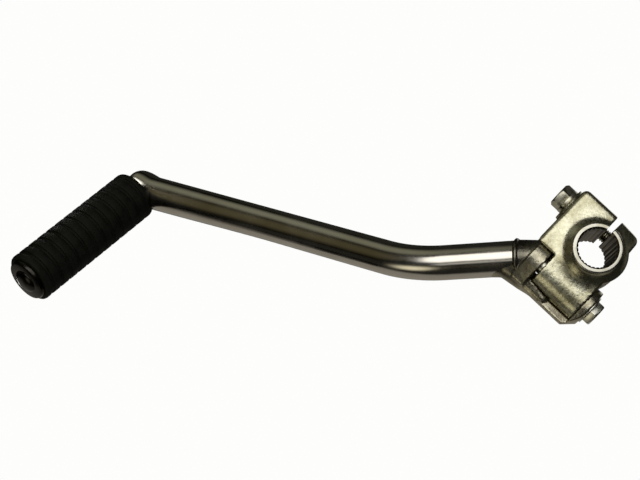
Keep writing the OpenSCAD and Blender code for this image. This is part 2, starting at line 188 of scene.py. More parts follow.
# the bent bar, along the arm and towards the engine
bar = {
    "r": 7.5,
    "root": (18.0, -3.4),
    "bend": (58.6, -24.9),
    "elbow": (227.4, -27.7),
    "bendR": 60,
    "knuckleR": 8.0,
    "knuckleOut": 1.8,
    "swell": 10,
    "grow": 0.6,
    "growLow": 0.42,
    "growFrom": 0.4,
    "pegR": 6.0,
    "pegLen": 77.6,
    "sides": 18,
}


# materials

def newMaterial(name):
    mat = bpy.data.materials.new(name)
    mat.use_nodes = True
    tree = mat.node_tree
    shader = tree.nodes["Principled BSDF"]
    coords = tree.nodes.new("ShaderNodeTexCoord")
    return mat, tree, shader, coords


def addNoise(tree, coords, scale, detail=4, rough=0.5, stretch=None, socket="Object"):
    noise = tree.nodes.new("ShaderNodeTexNoise")
    noise.inputs["Scale"].default_value = scale
    noise.inputs["Detail"].default_value = detail
    noise.inputs["Roughness"].default_value = rough
    if stretch:
        mapping = tree.nodes.new("ShaderNodeMapping")
        mapping.inputs["Scale"].default_value = stretch
        tree.links.new(coords.outputs[socket], mapping.inputs["Vector"])
        tree.links.new(mapping.outputs["Vector"], noise.inputs["Vector"])
    else:
        tree.links.new(coords.outputs[socket], noise.inputs["Vector"])
    return noise


def addRamp(tree, source, stops):
    ramp = tree.nodes.new("ShaderNodeValToRGB")
    for i, (pos, col) in enumerate(stops):
        stop = ramp.color_ramp.elements[i] if i < 2 else ramp.color_ramp.elements.new(pos)
        stop.position = pos
        stop.color = (*col, 1) if len(col) == 3 else col
    tree.links.new(source, ramp.inputs["Fac"])
    return ramp


def addRange(tree, source, low, high, fromLow=0.3, fromHigh=0.7):
    rng = tree.nodes.new("ShaderNodeMapRange")
    rng.inputs["From Min"].default_value = fromLow
    rng.inputs["From Max"].default_value = fromHigh
    rng.inputs["To Min"].default_value = low
    rng.inputs["To Max"].default_value = high
    tree.links.new(source, rng.inputs["Value"])
    return rng


def addBump(tree, shader, sources, strength=0.5):
    below = None
    for source, depth in sources:
        bump = tree.nodes.new("ShaderNodeBump")
        bump.inputs["Strength"].default_value = strength
        bump.inputs["Distance"].default_value = depth
        tree.links.new(source, bump.inputs["Height"])
        if below:
            tree.links.new(below.outputs["Normal"], bump.inputs["Normal"])
        below = bump
    tree.links.new(below.outputs["Normal"], shader.inputs["Normal"])


def makeCastMetal():
    look = {"pale": (0.58, 0.565, 0.43), "deep": (0.34, 0.315, 0.20), "metal": 1.0, "smooth": 0.22,
            "rough": 0.38}
    mat, tree, shader, coords = newMaterial("castMetal")
    shader.inputs["Metallic"].default_value = look["metal"]
    blotch = addNoise(tree, coords, 130, 5, 0.6)
    grain = addNoise(tree, coords, 900, 3, 0.6)
    pits = addNoise(tree, coords, 2600, 2, 0.5)
    ramp = addRamp(tree, blotch.outputs["Fac"], [(0.34, look["deep"]), (0.62, look["pale"])])
    tree.links.new(ramp.outputs["Color"], shader.inputs["Base Color"])
    rough = addRange(tree, grain.outputs["Fac"], look["smooth"], look["rough"])
    tree.links.new(rough.outputs["Result"], shader.inputs["Roughness"])
    addBump(tree, shader, [(blotch.outputs["Fac"], 0.0005), (grain.outputs["Fac"], 0.00012),
                           (pits.outputs["Fac"], 0.000012)], 0.55)
    return mat


# painted shade: the forging is darkened round the bar's root, where it meets the bar
def makeForgedSteel():
    look = {"pale": (0.54, 0.51, 0.39), "deep": (0.28, 0.25, 0.18), "metal": 1.0, "smooth": 0.22,
            "rough": 0.38,
            # the colour under scale is painted shade, dark round the bar's root
            "scale": (0.08, 0.075, 0.062), "shadeReach": 15, "shadeShare": 0.92}
    mat, tree, shader, coords = newMaterial("forgedSteel")
    shader.inputs["Metallic"].default_value = look["metal"]
    blotch = addNoise(tree, coords, 180, 4, 0.6)
    grain = addNoise(tree, coords, 1100, 3, 0.6)
    ramp = addRamp(tree, blotch.outputs["Fac"], [(0.32, look["deep"]), (0.66, look["pale"])])
    # painted shade, strongest at the bar's root and fading with distance from it
    shadeSpot = tree.nodes.new("ShaderNodeMapping")
    shadeSpot.vector_type = "TEXTURE"
    shadeSpot.inputs["Location"].default_value = barFrame @ Vector((bar["root"][0] * mm, 0,
                                                                 bar["root"][1] * mm))
    shadeSpot.inputs["Scale"].default_value = [look["shadeReach"] * mm] * 3
    tree.links.new(coords.outputs["Object"], shadeSpot.inputs["Vector"])
    near = tree.nodes.new("ShaderNodeTexGradient")
    near.gradient_type = "SPHERICAL"
    tree.links.new(shadeSpot.outputs["Vector"], near.inputs["Vector"])
    share = addRange(tree, near.outputs["Fac"], 0, look["shadeShare"], 0.12, 0.5)
    tint = tree.nodes.new("ShaderNodeMix")
    tint.data_type = "RGBA"
    tint.inputs[7].default_value = (*look["scale"], 1)
    tree.links.new(share.outputs["Result"], tint.inputs[0])
    tree.links.new(ramp.outputs["Color"], tint.inputs[6])
    tree.links.new(tint.outputs[2], shader.inputs["Base Color"])
    rough = addRange(tree, grain.outputs["Fac"], look["smooth"], look["rough"])
    tree.links.new(rough.outputs["Result"], shader.inputs["Roughness"])
    addBump(tree, shader, [(blotch.outputs["Fac"], 0.0004), (grain.outputs["Fac"], 0.00008)], 0.5)
    return mat


def makePlatedSteel():
    look = {"pale": (0.62, 0.59, 0.54), "deep": (0.50, 0.47, 0.41), "smooth": 0.13, "rough": 0.23}
    mat, tree, shader, coords = newMaterial("platedSteel")
    shader.inputs["Metallic"].default_value = 1
    haze = addNoise(tree, coords, 60, 3, 0.5)
    fine = addNoise(tree, coords, 1500, 2, 0.5)
    ramp = addRamp(tree, haze.outputs["Fac"], [(0.3, look["deep"]), (0.7, look["pale"])])
    tree.links.new(ramp.outputs["Color"], shader.inputs["Base Color"])
    rough = addRange(tree, haze.outputs["Fac"], look["smooth"], look["rough"])
    tree.links.new(rough.outputs["Result"], shader.inputs["Roughness"])
    addBump(tree, shader, [(haze.outputs["Fac"], 0.0002), (fine.outputs["Fac"], 0.000006)], 0.3)
    return mat


def makeZincSteel(name, pale, deep):
    look = {"pale": pale, "deep": deep, "smooth": 0.24, "rough": 0.42}
    mat, tree, shader, coords = newMaterial(name)
    shader.inputs["Metallic"].default_value = 1
    blotch = addNoise(tree, coords, 420, 4, 0.6)
    ramp = addRamp(tree, blotch.outputs["Fac"], [(0.3, look["deep"]), (0.65, look["pale"])])
    tree.links.new(ramp.outputs["Color"], shader.inputs["Base Color"])
    rough = addRange(tree, blotch.outputs["Fac"], look["smooth"], look["rough"])
    tree.links.new(rough.outputs["Result"], shader.inputs["Roughness"])
    addBump(tree, shader, [(blotch.outputs["Fac"], 0.00006)], 0.4)
    return mat


def makeMachinedSteel():
    look = {"pale": (0.60, 0.585, 0.52), "deep": (0.30, 0.285, 0.22), "smooth": 0.2, "rough": 0.36}
    mat, tree, shader, coords = newMaterial("machinedSteel")
    shader.inputs["Metallic"].default_value = 1
    lines = addNoise(tree, coords, 700, 3, 0.5, stretch=(0.4, 6, 0.4))
    ramp = addRamp(tree, lines.outputs["Fac"], [(0.3, look["deep"]), (0.7, look["pale"])])
    tree.links.new(ramp.outputs["Color"], shader.inputs["Base Color"])
    rough = addRange(tree, lines.outputs["Fac"], look["smooth"], look["rough"])
    tree.links.new(rough.outputs["Result"], shader.inputs["Roughness"])
    addBump(tree, shader, [(lines.outputs["Fac"], 0.00002)], 0.4)
    return mat


# painted dark reflection: near-black steel for the end washer and the peened head
def makeDarkSteel():
    look = {"pale": (0.04, 0.038, 0.032), "deep": (0.014, 0.013, 0.011), "smooth": 0.16, "rough": 0.32}
    mat, tree, shader, coords = newMaterial("darkSteel")
    shader.inputs["Metallic"].default_value = 1
    stain = addNoise(tree, coords, 260, 4, 0.6)
    ramp = addRamp(tree, stain.outputs["Fac"], [(0.35, look["deep"]), (0.65, look["pale"])])
    tree.links.new(ramp.outputs["Color"], shader.inputs["Base Color"])
    rough = addRange(tree, stain.outputs["Fac"], look["smooth"], look["rough"])
    tree.links.new(rough.outputs["Result"], shader.inputs["Roughness"])
    addBump(tree, shader, [(stain.outputs["Fac"], 0.00008)], 0.4)
    return mat


# painted shade: dark steel for inside the bore
def makeBoreSteel():
    look = {"pale": (0.20, 0.175, 0.13), "deep": (0.09, 0.08, 0.06), "smooth": 0.3, "rough": 0.5}
    mat, tree, shader, coords = newMaterial("boreSteel")
    shader.inputs["Metallic"].default_value = 1
    stain = addNoise(tree, coords, 300, 4, 0.6)
    ramp = addRamp(tree, stain.outputs["Fac"], [(0.35, look["deep"]), (0.65, look["pale"])])
    tree.links.new(ramp.outputs["Color"], shader.inputs["Base Color"])
    rough = addRange(tree, stain.outputs["Fac"], look["smooth"], look["rough"])
    tree.links.new(rough.outputs["Result"], shader.inputs["Roughness"])
    addBump(tree, shader, [(stain.outputs["Fac"], 0.00006)], 0.4)
    return mat


def makeRubber():
    look = {"pale": (0.0032, 0.0032, 0.0026), "deep": (0.0014, 0.0014, 0.0011), "smooth": 0.55,
            "rough": 0.75}
    mat, tree, shader, coords = newMaterial("blackRubber")
    shader.inputs["Specular IOR Level"].default_value = 0.12
    shader.inputs["Specular Tint"].default_value = (1, 1, 0.8, 1)
    blotch = addNoise(tree, coords, 160, 4, 0.6)
    grain = addNoise(tree, coords, 2200, 2, 0.6)
    ramp = addRamp(tree, blotch.outputs["Fac"], [(0.3, look["deep"]), (0.7, look["pale"])])
    tree.links.new(ramp.outputs["Color"], shader.inputs["Base Color"])
    rough = addRange(tree, blotch.outputs["Fac"], look["smooth"], look["rough"])
    tree.links.new(rough.outputs["Result"], shader.inputs["Roughness"])
    addBump(tree, shader, [(grain.outputs["Fac"], 0.00005)], 0.5)
    return mat


castMetal = makeCastMetal()
forgedSteel = makeForgedSteel()
platedSteel = makePlatedSteel()
zincSteel = makeZincSteel("zincSteel", (0.62, 0.60, 0.49), (0.34, 0.325, 0.24))
# painted highlight: a paler copy of the zinc steel, for the pivot bolt and its washer
paintedHighlightZinc = makeZincSteel("paintedHighlightZinc", (0.86, 0.85, 0.76), (0.52, 0.50, 0.40))
machinedSteel = makeMachinedSteel()
boreSteel = makeBoreSteel()
darkSteel = makeDarkSteel()
blackRubber = makeRubber()
print("materials made")


def paintNode(name, material):
    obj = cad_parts[name]
    obj.data.materials.clear()
    obj.data.materials.append(material)


paintNode("kick_boss", castMetal)
paintNode("clamp_bolt", zincSteel)
paintNode("clamp_washer", zincSteel)
paintNode("arm_yoke", forgedSteel)
paintNode("arm_bar", platedSteel)
paintNode("pivot_bolt", paintedHighlightZinc)
paintNode("pivot_washer", paintedHighlightZinc)
paintNode("detent_ball", machinedSteel)
paintNode("detent_spring", machinedSteel)
paintNode("pedal_rubber", blackRubber)
paintNode("pedal_washer", zincSteel)
deselectAll()


# cast boss

# a copy of a CAD solid as a piece of its own, its loose triangles merged
def plainCopy(name, node):
    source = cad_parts[node]
    obj = source.copy()
    obj.data = source.data.copy()
    bpy.context.collection.objects.link(obj)
    obj.parent = None
    obj.matrix_world = Matrix.Identity(4)
    pick(obj)
    newest(name)
    bpy.ops.object.mode_set(mode="EDIT")
    bpy.ops.mesh.select_all(action="SELECT")
    bpy.ops.mesh.remove_doubles(threshold=1e-6)
    bpy.ops.object.mode_set(mode="OBJECT")
    return obj


# such a copy with its sharp edges worn soft, as a casting or a forging has them
def softenedCopy(name, node, voxel, passes, fuller=0, stub=None):
    obj = plainCopy(name, node)
    if fuller:
        bpy.ops.object.mode_set(mode="EDIT")
        bpy.ops.mesh.select_all(action="SELECT")
        bpy.ops.transform.shrink_fatten(value=fuller * mm)
        bpy.ops.object.mode_set(mode="OBJECT")
    if stub:
        joinPieces(obj, stub)
    skin = obj.modifiers.new("skin", "REMESH")
    skin.mode = "VOXEL"
    skin.voxel_size = voxel * mm
    apply(obj, skin)
    worn = obj.modifiers.new("worn", "SMOOTH")
    worn.factor = 0.5
    worn.iterations = passes
    apply(obj, worn)
    return obj


boss = {
    "voxel": 0.42,
    "passes": 5,
    "boreR": 8.0,
    "grooveR": 8.35,
    "teeth": 30,
    "sleeveR": 9.2,
    "rimR": 10.72,
    "rimDepth": 1.0,
    "rimRound": 0.8,
    "half": 16,
    "slotShift": 1.2,
    "faceZ": -10,
    "fallFrom": 9.6,
    "fallSlope": 0.55,
    "fallMost": 4.5,
    "slotWidth": 2.6,
    "collarR": 10.7,
    "flareReach": 7.5,
    "flareRise": 2.8,
    "flareFade": 5.0,
    "flareSide": 225,
}


def bossCylinder(name, radius, low, high):
    bpy.ops.mesh.primitive_cylinder_add(vertices=128, radius=radius * mm, depth=(high - low) * mm,
                                        location=(0, 0, (low + high) / 2 * mm))
    return settleTool(newest(name), bossFrame)


def settleTool(obj, place):
    bpy.ops.object.transform_apply(location=True, rotation=True, scale=True)
    return settle(obj, place)


def slotBlock():
    bpy.ops.mesh.primitive_cube_add(size=1, location=(18 * mm, -boss["slotShift"] * mm, 0))
    block = newest("slotTool")
    block.scale = (26 * mm, boss["slotWidth"] * mm, 60 * mm)
    return settleTool(block, bossFrame)


# beyond the slot the casting falls away from its front face
def fallAway(body):
    front, still = boss["faceZ"], boss["faceZ"] + 9
    for vert in body.data.vertices:
        away = vert.co.x / mm - boss["fallFrom"]
        depth = vert.co.y / mm
        if away > 0 and depth < still:
            share = min(1, (still - depth) / (still - front))
            vert.co.y += min(away * boss["fallSlope"], boss["fallMost"]) * share * mm


# the casting sweeps up to the collar in a wide fillet, widest towards the arm
def flareCollar(body):
    for vert in body.data.vertices:
        out = (math.hypot(vert.co.x, vert.co.z) / mm - boss["collarR"]) / boss["flareReach"]
        share = 1 - abs(vert.co.y / mm - boss["faceZ"]) / boss["flareFade"]
        if -0.2 < out < 1 and share > 0:
            turn = math.atan2(vert.co.z, vert.co.x) - math.radians(boss["flareSide"])
            rise = boss["flareRise"] * (0.6 + 0.4 * math.cos(turn))
            vert.co.y -= rise * (1 - max(out, 0)) ** 2 * share * mm


def makeCastBody():
    body = softenedCopy("castBody", "kick_boss", boss["voxel"], boss["passes"])
    cutAway(body, bossCylinder("boreTool", boss["sleeveR"] + 0.02, -20, 20))
    cutAway(body, bossCylinder("rimTool", 14, -20, -boss["half"] + boss["rimDepth"]))
    flareCollar(body)
    fallAway(body)
    softShade(body, 50)
    body.data.materials.clear()
    body.data.materials.append(castMetal)
    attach(body, "boss")
    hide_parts("kick_boss")


# the machined part of the boss: the rim and the splined bore
def makeSplinedBore():
    half, soft = boss["half"], boss["rimRound"]
    turns = [math.radians(15 * k) for k in range(7)]
    rounded = [(boss["rimR"] - soft + soft * math.sin(a), -half + soft - soft * math.cos(a)) for a in turns]
    section = [
        (boss["boreR"], -half + 0.9), (boss["boreR"] + 0.9, -half), *rounded,
        (boss["rimR"], -half + boss["rimDepth"] + 0.15),
        (boss["sleeveR"], -half + boss["rimDepth"] + 0.4), (boss["sleeveR"], half - 0.3),
        (boss["sleeveR"] - 0.3, half), (boss["boreR"] + 0.6, half), (boss["boreR"], half - 0.6),
    ]
    bore = turnedPiece("splinedBore", section, steps=240, closed=True)
    pitch = 360 / boss["teeth"]
    for vert in bore.data.vertices:
        r = math.hypot(vert.co.x, vert.co.y) / mm
        if r < boss["boreR"] + 0.1:
            angle = math.degrees(math.atan2(vert.co.y, vert.co.x)) % pitch
            fromGroove = min(angle, pitch - angle)
            deeper = max(0, 1 - fromGroove / 3.1) * (boss["grooveR"] - boss["boreR"])
            scale = (boss["boreR"] + deeper) / r
            vert.co.x *= scale
            vert.co.y *= scale
    settle(bore, bossFrame)
    cutAway(bore, slotBlock())
    finishPiece(bore, Matrix.Identity(4), "boss", machinedSteel, angle=20)
    # painted shade: the splines and what is behind the rim are darker, for the shade inside the bore
    bore.data.materials.append(boreSteel)
    for face in bore.data.polygons:
        x, y, z = face.center / mm
        if y > -boss["half"] + 0.05 and math.hypot(x, z) < boss["boreR"] + 1.0:
            face.material_index = 1


makeCastBody()
makeSplinedBore()
print("boss made")


# bolts and washers

bolts = {
    "acrossFlats": 10,
    "threadR": 3.0,
    "threadPitch": 1.0,
    "clampAt": (11.9, 9.5),
    "clampHead": (-27.8, -23.4),
    "clampEnd": 9.6,
    "clampTurn": -8,
    "pivotTurn": 9,
    "washer": (-23.4, -21.8),
    "pivotHead": (15.75, 19.15),
    "pivotWasher": (14.95, 15.75),
    "shoulderR": 3.75,
    "nearFace": -12.0,
}


# hex head from z = 0 up, its corners turned off and its top slightly hollow
def hexHead(name, height):
    flats = bolts["acrossFlats"]
    bpy.ops.mesh.primitive_cylinder_add(vertices=6, radius=flats / 2 / math.cos(math.radians(30)) * mm,
                                        depth=height * mm, location=(0, 0, height / 2 * mm))
    head = newest(name)
    bpy.ops.object.transform_apply(location=True, rotation=True, scale=True)
    cone = turnedPiece("cone", [(0, -1), (flats / 2 + 1.2, -1), (flats / 2 + 1.2, height - 1.35),
                                (flats / 2 - 0.35, height), (flats / 2 - 1.1, height),
                                (flats / 2 - 1.5, height - 0.25),
                                (0, height - 0.25)])
    both = head.modifiers.new("turned", "BOOLEAN")
    both.operation = "INTERSECT"
    both.solver = "EXACT"
    both.object = cone
    apply(head, both)
    bpy.data.objects.remove(cone)
    roundEdges(head, 0.16, 2, 25)
    return head


# threaded rod from low to high along z
def threadedRod(name, low, high, radius, chamfer=0.8):
    pitch = bolts["threadPitch"]
    deep = 0.55 * pitch
    section = [(0, low), (radius - chamfer, low)]
    z = low + chamfer * 0.7
    while z + pitch < high:
        section += [(radius - deep, z), (radius, z + 0.42 * pitch), (radius, z + 0.58 * pitch)]
        z += pitch
    section += [(radius - deep, z), (radius - 0.02, high), (0, high)]
    return turnedPiece(name, section, steps=48)


def onBoss(u, y):
    return bossFrame @ Matrix.Translation((u * mm, 0, y * mm)) @ turned(-90, "X")


def makeClampBolt():
    low, high = bolts["clampHead"]
    head = hexHead("clampScrew", high - low)
    pick(head)
    head.matrix_world = (Matrix.Translation((0, 0, high * mm))
                         @ turned(bolts["clampTurn"], "Z") @ turned(180, "X"))
    bpy.ops.object.transform_apply(location=True, rotation=True, scale=True)
    # its tip points away from the head, so the rod is turned over
    rod = threadedRod("clampRod", -bolts["clampEnd"], -high + 0.01, bolts["threadR"])
    pick(rod)
    rod.matrix_world = turned(180, "X")
    bpy.ops.object.transform_apply(location=True, rotation=True, scale=True)
    joinPieces(head, rod)
    finishPiece(head, onBoss(*bolts["clampAt"]), "boss", zincSteel, ["clamp_bolt"])


def makeLockWasher():
    low, high = bolts["washer"]
    inner, outer = 3.3, 5.8
    ring = turnedPiece("lockWasher", [(inner, low), (outer, low), (outer, high), (inner, high)],
                       steps=96, closed=True)
    roundEdges(ring, 0.18, 2)
    bpy.ops.mesh.primitive_cube_add(size=1, location=(0, 0, 0))
    gap = newest("splitTool")
    gap.scale = (8 * mm, 0.9 * mm, 6 * mm)
    gap.rotation_euler = (math.radians(28), 0, 0)
    bpy.ops.object.transform_apply(location=True, rotation=True, scale=True)
    gap.matrix_world = turned(140, "Z") @ Matrix.Translation((4 * mm, 0, (low + high) / 2 * mm))
    pick(gap)
    bpy.ops.object.transform_apply(location=True, rotation=True, scale=True)
    cutAway(ring, gap)
    finishPiece(ring, onBoss(*bolts["clampAt"]), "boss", zincSteel, ["clamp_washer"])


def makePivotBolt():
    low, high = bolts["pivotHead"]
    head = hexHead("pivotScrew", high - low)
    pick(head)
    head.matrix_world = Matrix.Translation((0, 0, low * mm)) @ turned(bolts["pivotTurn"], "Z")
    bpy.ops.object.transform_apply(location=True, rotation=True, scale=True)
    near = bolts["nearFace"]
    shoulder = turnedPiece("shoulder", [(0, near), (bolts["shoulderR"] - 0.3, near),
                                        (bolts["shoulderR"], near + 0.3),
                                        (bolts["shoulderR"], low + 0.01), (0, low + 0.01)])
    rod = threadedRod("pivotRod", near - 5, near + 0.01, bolts["threadR"])
    joinPieces(head, shoulder, rod)
    finishPiece(head, hingeFrame, "arm", paintedHighlightZinc, ["pivot_bolt"])


def makePivotWasher():
    low, high = bolts["pivotWasher"]
    ring = turnedPiece("plainWasher", [(3.9, low), (6.7, low), (6.7, high), (3.9, high)], steps=96,
                       closed=True)
    roundEdges(ring, 0.12, 2)
    finishPiece(ring, hingeFrame, "arm", paintedHighlightZinc, ["pivot_washer"])


makeClampBolt()
makeLockWasher()
makePivotBolt()
makePivotWasher()
print("bolts made")


# fork of the arm

fork = {
    "voxel": 0.3,
    "passes": 5,
    "fuller": 0.05,
    "stubR": 7.4,
    "stubLength": 24,
    "lipPlace": (19, -7, -11),
    "lipReach": 9,
    "lipSwell": 0.35,
    "lipPasses": 40,
}


# the lip under the bar is ground smooth, so that it runs out in a soft sweep
def easeLip(yoke):
    centre = barFrame @ (Vector(fork["lipPlace"]) * mm)
    lip = yoke.vertex_groups.new(name="lip")
    for vert in yoke.data.vertices:
        share = 1 - (vert.co - centre).length / (fork["lipReach"] * mm)
        if share > 0:
            lip.add([vert.index], min(1, share * 2), "REPLACE")
    swell = yoke.modifiers.new("swell", "DISPLACE")
    swell.vertex_group = "lip"
    swell.mid_level = 0
    swell.strength = fork["lipSwell"] * mm
    apply(yoke, swell)
    ground = yoke.modifiers.new("ground", "SMOOTH")
    ground.vertex_group = "lip"
    ground.factor = 0.5
    ground.iterations = fork["lipPasses"]
    apply(yoke, ground)
    yoke.vertex_groups.clear()


def makeFork():
    # a stub inside the bar lets the forging's lip run out on the bar in a fillet
    root, bend = Vector(bar["root"]), Vector(bar["bend"])
    dip = math.degrees(math.atan2(-(bend - root).y, (bend - root).x))
    bpy.ops.mesh.primitive_cylinder_add(vertices=96, radius=fork["stubR"] * mm,
                                        depth=fork["stubLength"] * mm,
                                        location=(0, 0, (fork["stubLength"] / 2 + 0.5) * mm))
    stub = newest("stub")
    bpy.ops.object.transform_apply(location=True, rotation=True, scale=True)
    settle(stub, barFrame @ Matrix.Translation((root.x * mm, 0, root.y * mm)) @ turned(90 + dip, "Y"))
    yoke = softenedCopy("forgedFork", "arm_yoke", fork["voxel"], fork["passes"], fork["fuller"], stub)
    easeLip(yoke)
    softShade(yoke, 50)
    yoke.data.materials.clear()
    yoke.data.materials.append(forgedSteel)
    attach(yoke, "arm")
    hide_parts("arm_yoke")


makeFork()
print("fork made")


# bar

# tube along points of (x, z, radius) in the bar's plane, or (x, z, radius, y) beside it
def tubeAlong(name, points, sides):
    curve = bpy.data.curves.new(name, "CURVE")
    curve.dimensions = "3D"
    curve.bevel_depth = mm
    curve.bevel_resolution = sides
    curve.use_fill_caps = True
    spline = curve.splines.new("POLY")
    spline.points.add(len(points) - 1)
    for point, (x, z, r, *y) in zip(spline.points, points):
        point.co = (x * mm, (y[0] if y else 0) * mm, z * mm, 1)
        point.radius = r
    obj = bpy.data.objects.new(name, curve)
    bpy.context.collection.objects.link(obj)
    pick(obj)
    bpy.ops.object.convert(target="MESH")
    return bpy.context.object


def barPath():
    root, bend, elbow = (Vector(bar[k]) for k in ("root", "bend", "elbow"))
    first = (bend - root).normalized()
    second = (elbow - bend).normalized()
    turn = first.angle(second)
    cut = bar["bendR"] * math.tan(turn / 2)
    start = bend - first * cut
    centre = start + Vector((-first.y, first.x)) * bar["bendR"]
    points = [(*(root - first * 4), 5.5), (*(root - first * 0.02), 5.5), (*root, bar["r"] - 0.3),
              (*(root + first * 0.3), bar["r"])]
    points += [(*(root + first * s), bar["r"]) for s in (4, 10, 16)]
    steps = 40
    for k in range(steps + 1):
        a = turn * k / steps
        spoke = start - centre
        spoke = Vector((spoke.x * math.cos(a) - spoke.y * math.sin(a),
                        spoke.x * math.sin(a) + spoke.y * math.cos(a)))
        points.append((*(centre + spoke), bar["r"]))
    end = bend + second * cut
    out = (90 - math.degrees(math.atan2(-second.y, second.x))) / 2
    ball = elbow + bar["knuckleOut"] * Vector((math.cos(math.radians(out)), math.sin(math.radians(out))))
    reach = (elbow - end).length
    side = Vector((-second.y, second.x))
    lift = (ball - elbow).dot(side)
    beyond = (ball - elbow).dot(second)
    # towards the elbow the bar grows a little on its lower side
    def grown(t):
        t = max(0, min(1, (t - bar["growFrom"]) / (1 - bar["growFrom"])))
        return t * t * (3 - 2 * t)

    run, last = 30, bar["swell"]
    for k in range(1, run):
        s = (reach - last) * k / run
        g = grown(s / reach)
        spot = end + second * s
        points.append((spot.x, spot.y - bar["growLow"] * g, bar["r"] + bar["grow"] * g,
                       -bar["growLow"] * g))
    # the last stretch rises into the knuckle, which ends in a dome
    for k in range(0, 20):
        t = k / 19
        ease = t * t * (3 - 2 * t)
        s = reach - last + (last + beyond) * t
        g = grown(min(s, reach) / reach) * (1 - ease)
        spot = end + second * s + side * lift * ease
        points.append((spot.x, spot.y - bar["growLow"] * g,
                       bar["r"] + bar["grow"] * g + (bar["knuckleR"] - bar["r"]) * ease,
                       -bar["growLow"] * g))
    for k in range(1, 17):
        a = math.radians(90 * k / 16)
        points.append((*(ball + second * bar["knuckleR"] * math.sin(a)),
                       max(bar["knuckleR"] * math.cos(a), 0.02)))
    return points


def makeBar():
    tube = tubeAlong("bentBar", barPath(), bar["sides"])
    peg = turnedPiece("peg", [(0, -bar["pegLen"]), (bar["pegR"], -bar["pegLen"]), (bar["pegR"], 0),
                              (0, 0)], steps=64)
    pick(peg)
    x, z = bar["elbow"]
    peg.matrix_world = Matrix.Translation((x * mm, 0, z * mm))
    bpy.ops.object.transform_apply(location=True, rotation=True, scale=True)
    # the peened head that holds the end washer
    top = bar["pegLen"] + 2.2
    dome = [(0, -top - 2.0), (1.6, -top - 1.93), (3.2, -top - 1.68), (4.6, -top - 1.25), (5.5, -top - 0.7),
            (5.95, -top - 0.2), (6.0, -top), (4, -top), (4, -top + 2.3), (0, -top + 2.3)]
    rivet = turnedPiece("rivet", dome, steps=64)
    pick(rivet)
    rivet.matrix_world = Matrix.Translation((x * mm, 0, z * mm))
    bpy.ops.object.transform_apply(location=True, rotation=True, scale=True)
    outward(tube)
    joinPieces(tube, peg, rivet)
    finishPiece(tube, barFrame, "arm", platedSteel, ["arm_bar"], angle=40)
    # painted dark reflection: the peened end is given the near-black steel
    tube.data.materials.append(darkSteel)
    back = barFrame.inverted()
    for face in tube.data.polygons:
        if (back @ face.center).z / mm < z - bar["pegLen"]:
            face.material_index = 1


makeBar()
print("bar made")


# weld round the bar's root

weld = {"majorR": 7.2, "minorR": 0.8, "ripples": 34}


def makeWeld():
    bpy.ops.mesh.primitive_torus_add(major_segments=weld["ripples"] * 6, minor_segments=16,
                                     major_radius=weld["majorR"] * mm,
                                     minor_radius=weld["minorR"] * mm)
    bead = newest("weldBead")
    for vert in bead.data.vertices:
        angle = math.atan2(vert.co.y, vert.co.x)
        ring = Vector((math.cos(angle), math.sin(angle), 0)) * weld["majorR"] * mm
        phase = (angle / (2 * math.pi) * weld["ripples"]) % 1
        wander = 1 + 0.08 * math.sin(3 * angle + 1) + 0.05 * math.sin(7 * angle)
        lens = 0.86 + 0.16 * math.sin(math.pi * phase)
        vert.co = ring + (vert.co - ring) * lens * wander
    root, bend = Vector(bar["root"]), Vector(bar["bend"])
    dip = math.degrees(math.atan2(-(bend - root).y, (bend - root).x))
    place = barFrame @ Matrix.Translation((root.x * mm, 0, root.y * mm)) @ turned(90 + dip, "Y")
    finishPiece(bead, place, "arm", forgedSteel, angle=60)


makeWeld()
print("weld made")


# detent spring


# the detent spring's coil, a plain copy of the CAD solid with its own mesh
def makeDetentSpring():
    coil = plainCopy("detentCoil", "detent_spring")
    finishPiece(coil, Matrix.Identity(4), "boss", machinedSteel, ["detent_spring"],
                angle=50)
    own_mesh(coil)


makeDetentSpring()
print("detent made")


# rubber and end washer

pedal = {
    "rubberR": 12.4,
    "start": 5.4,
    "end": 77.6,
    "pitch": 5.8,
    "grooveW": 1.8,
    "grooveDeep": 0.9,
    "innerR": 6.05,
    "washerR": 10.5,
    "washerT": 2.2,
}


def rubberSection():
    r, deep, wide = pedal["rubberR"], pedal["grooveDeep"], pedal["grooveW"]
    low, high = -pedal["end"], -pedal["start"]
    length = high - low
    ribs = int((length - wide) // pedal["pitch"])
    margin = (length - (ribs - 1) * pedal["pitch"]) / 2
    section = [(pedal["innerR"], low), (r - 1.3, low), (r - 0.6, low + 0.2), (r - 0.2, low + 0.6),
               (r, low + 1.3)]
    for k in range(ribs):
        z = low + margin + k * pedal["pitch"]
        edge = 0.28
        section += [
            (r, z - wide / 2 - edge), (r - 0.08, z - wide / 2 - 0.08), (r - edge, z - wide / 2),
            (r - deep + 0.2, z - wide / 2 + 0.15), (r - deep, z - wide / 2 + 0.45),
            (r - deep, z + wide / 2 - 0.45),
            (r - deep + 0.2, z + wide / 2 - 0.15), (r - edge, z + wide / 2),
            (r - 0.08, z + wide / 2 + 0.08),
            (r, z + wide / 2 + edge),
        ]
    section += [(r, high - 1.3), (r - 0.2, high - 0.6), (r - 0.6, high - 0.2), (r - 1.3, high),
                (pedal["innerR"], high)]
    return section


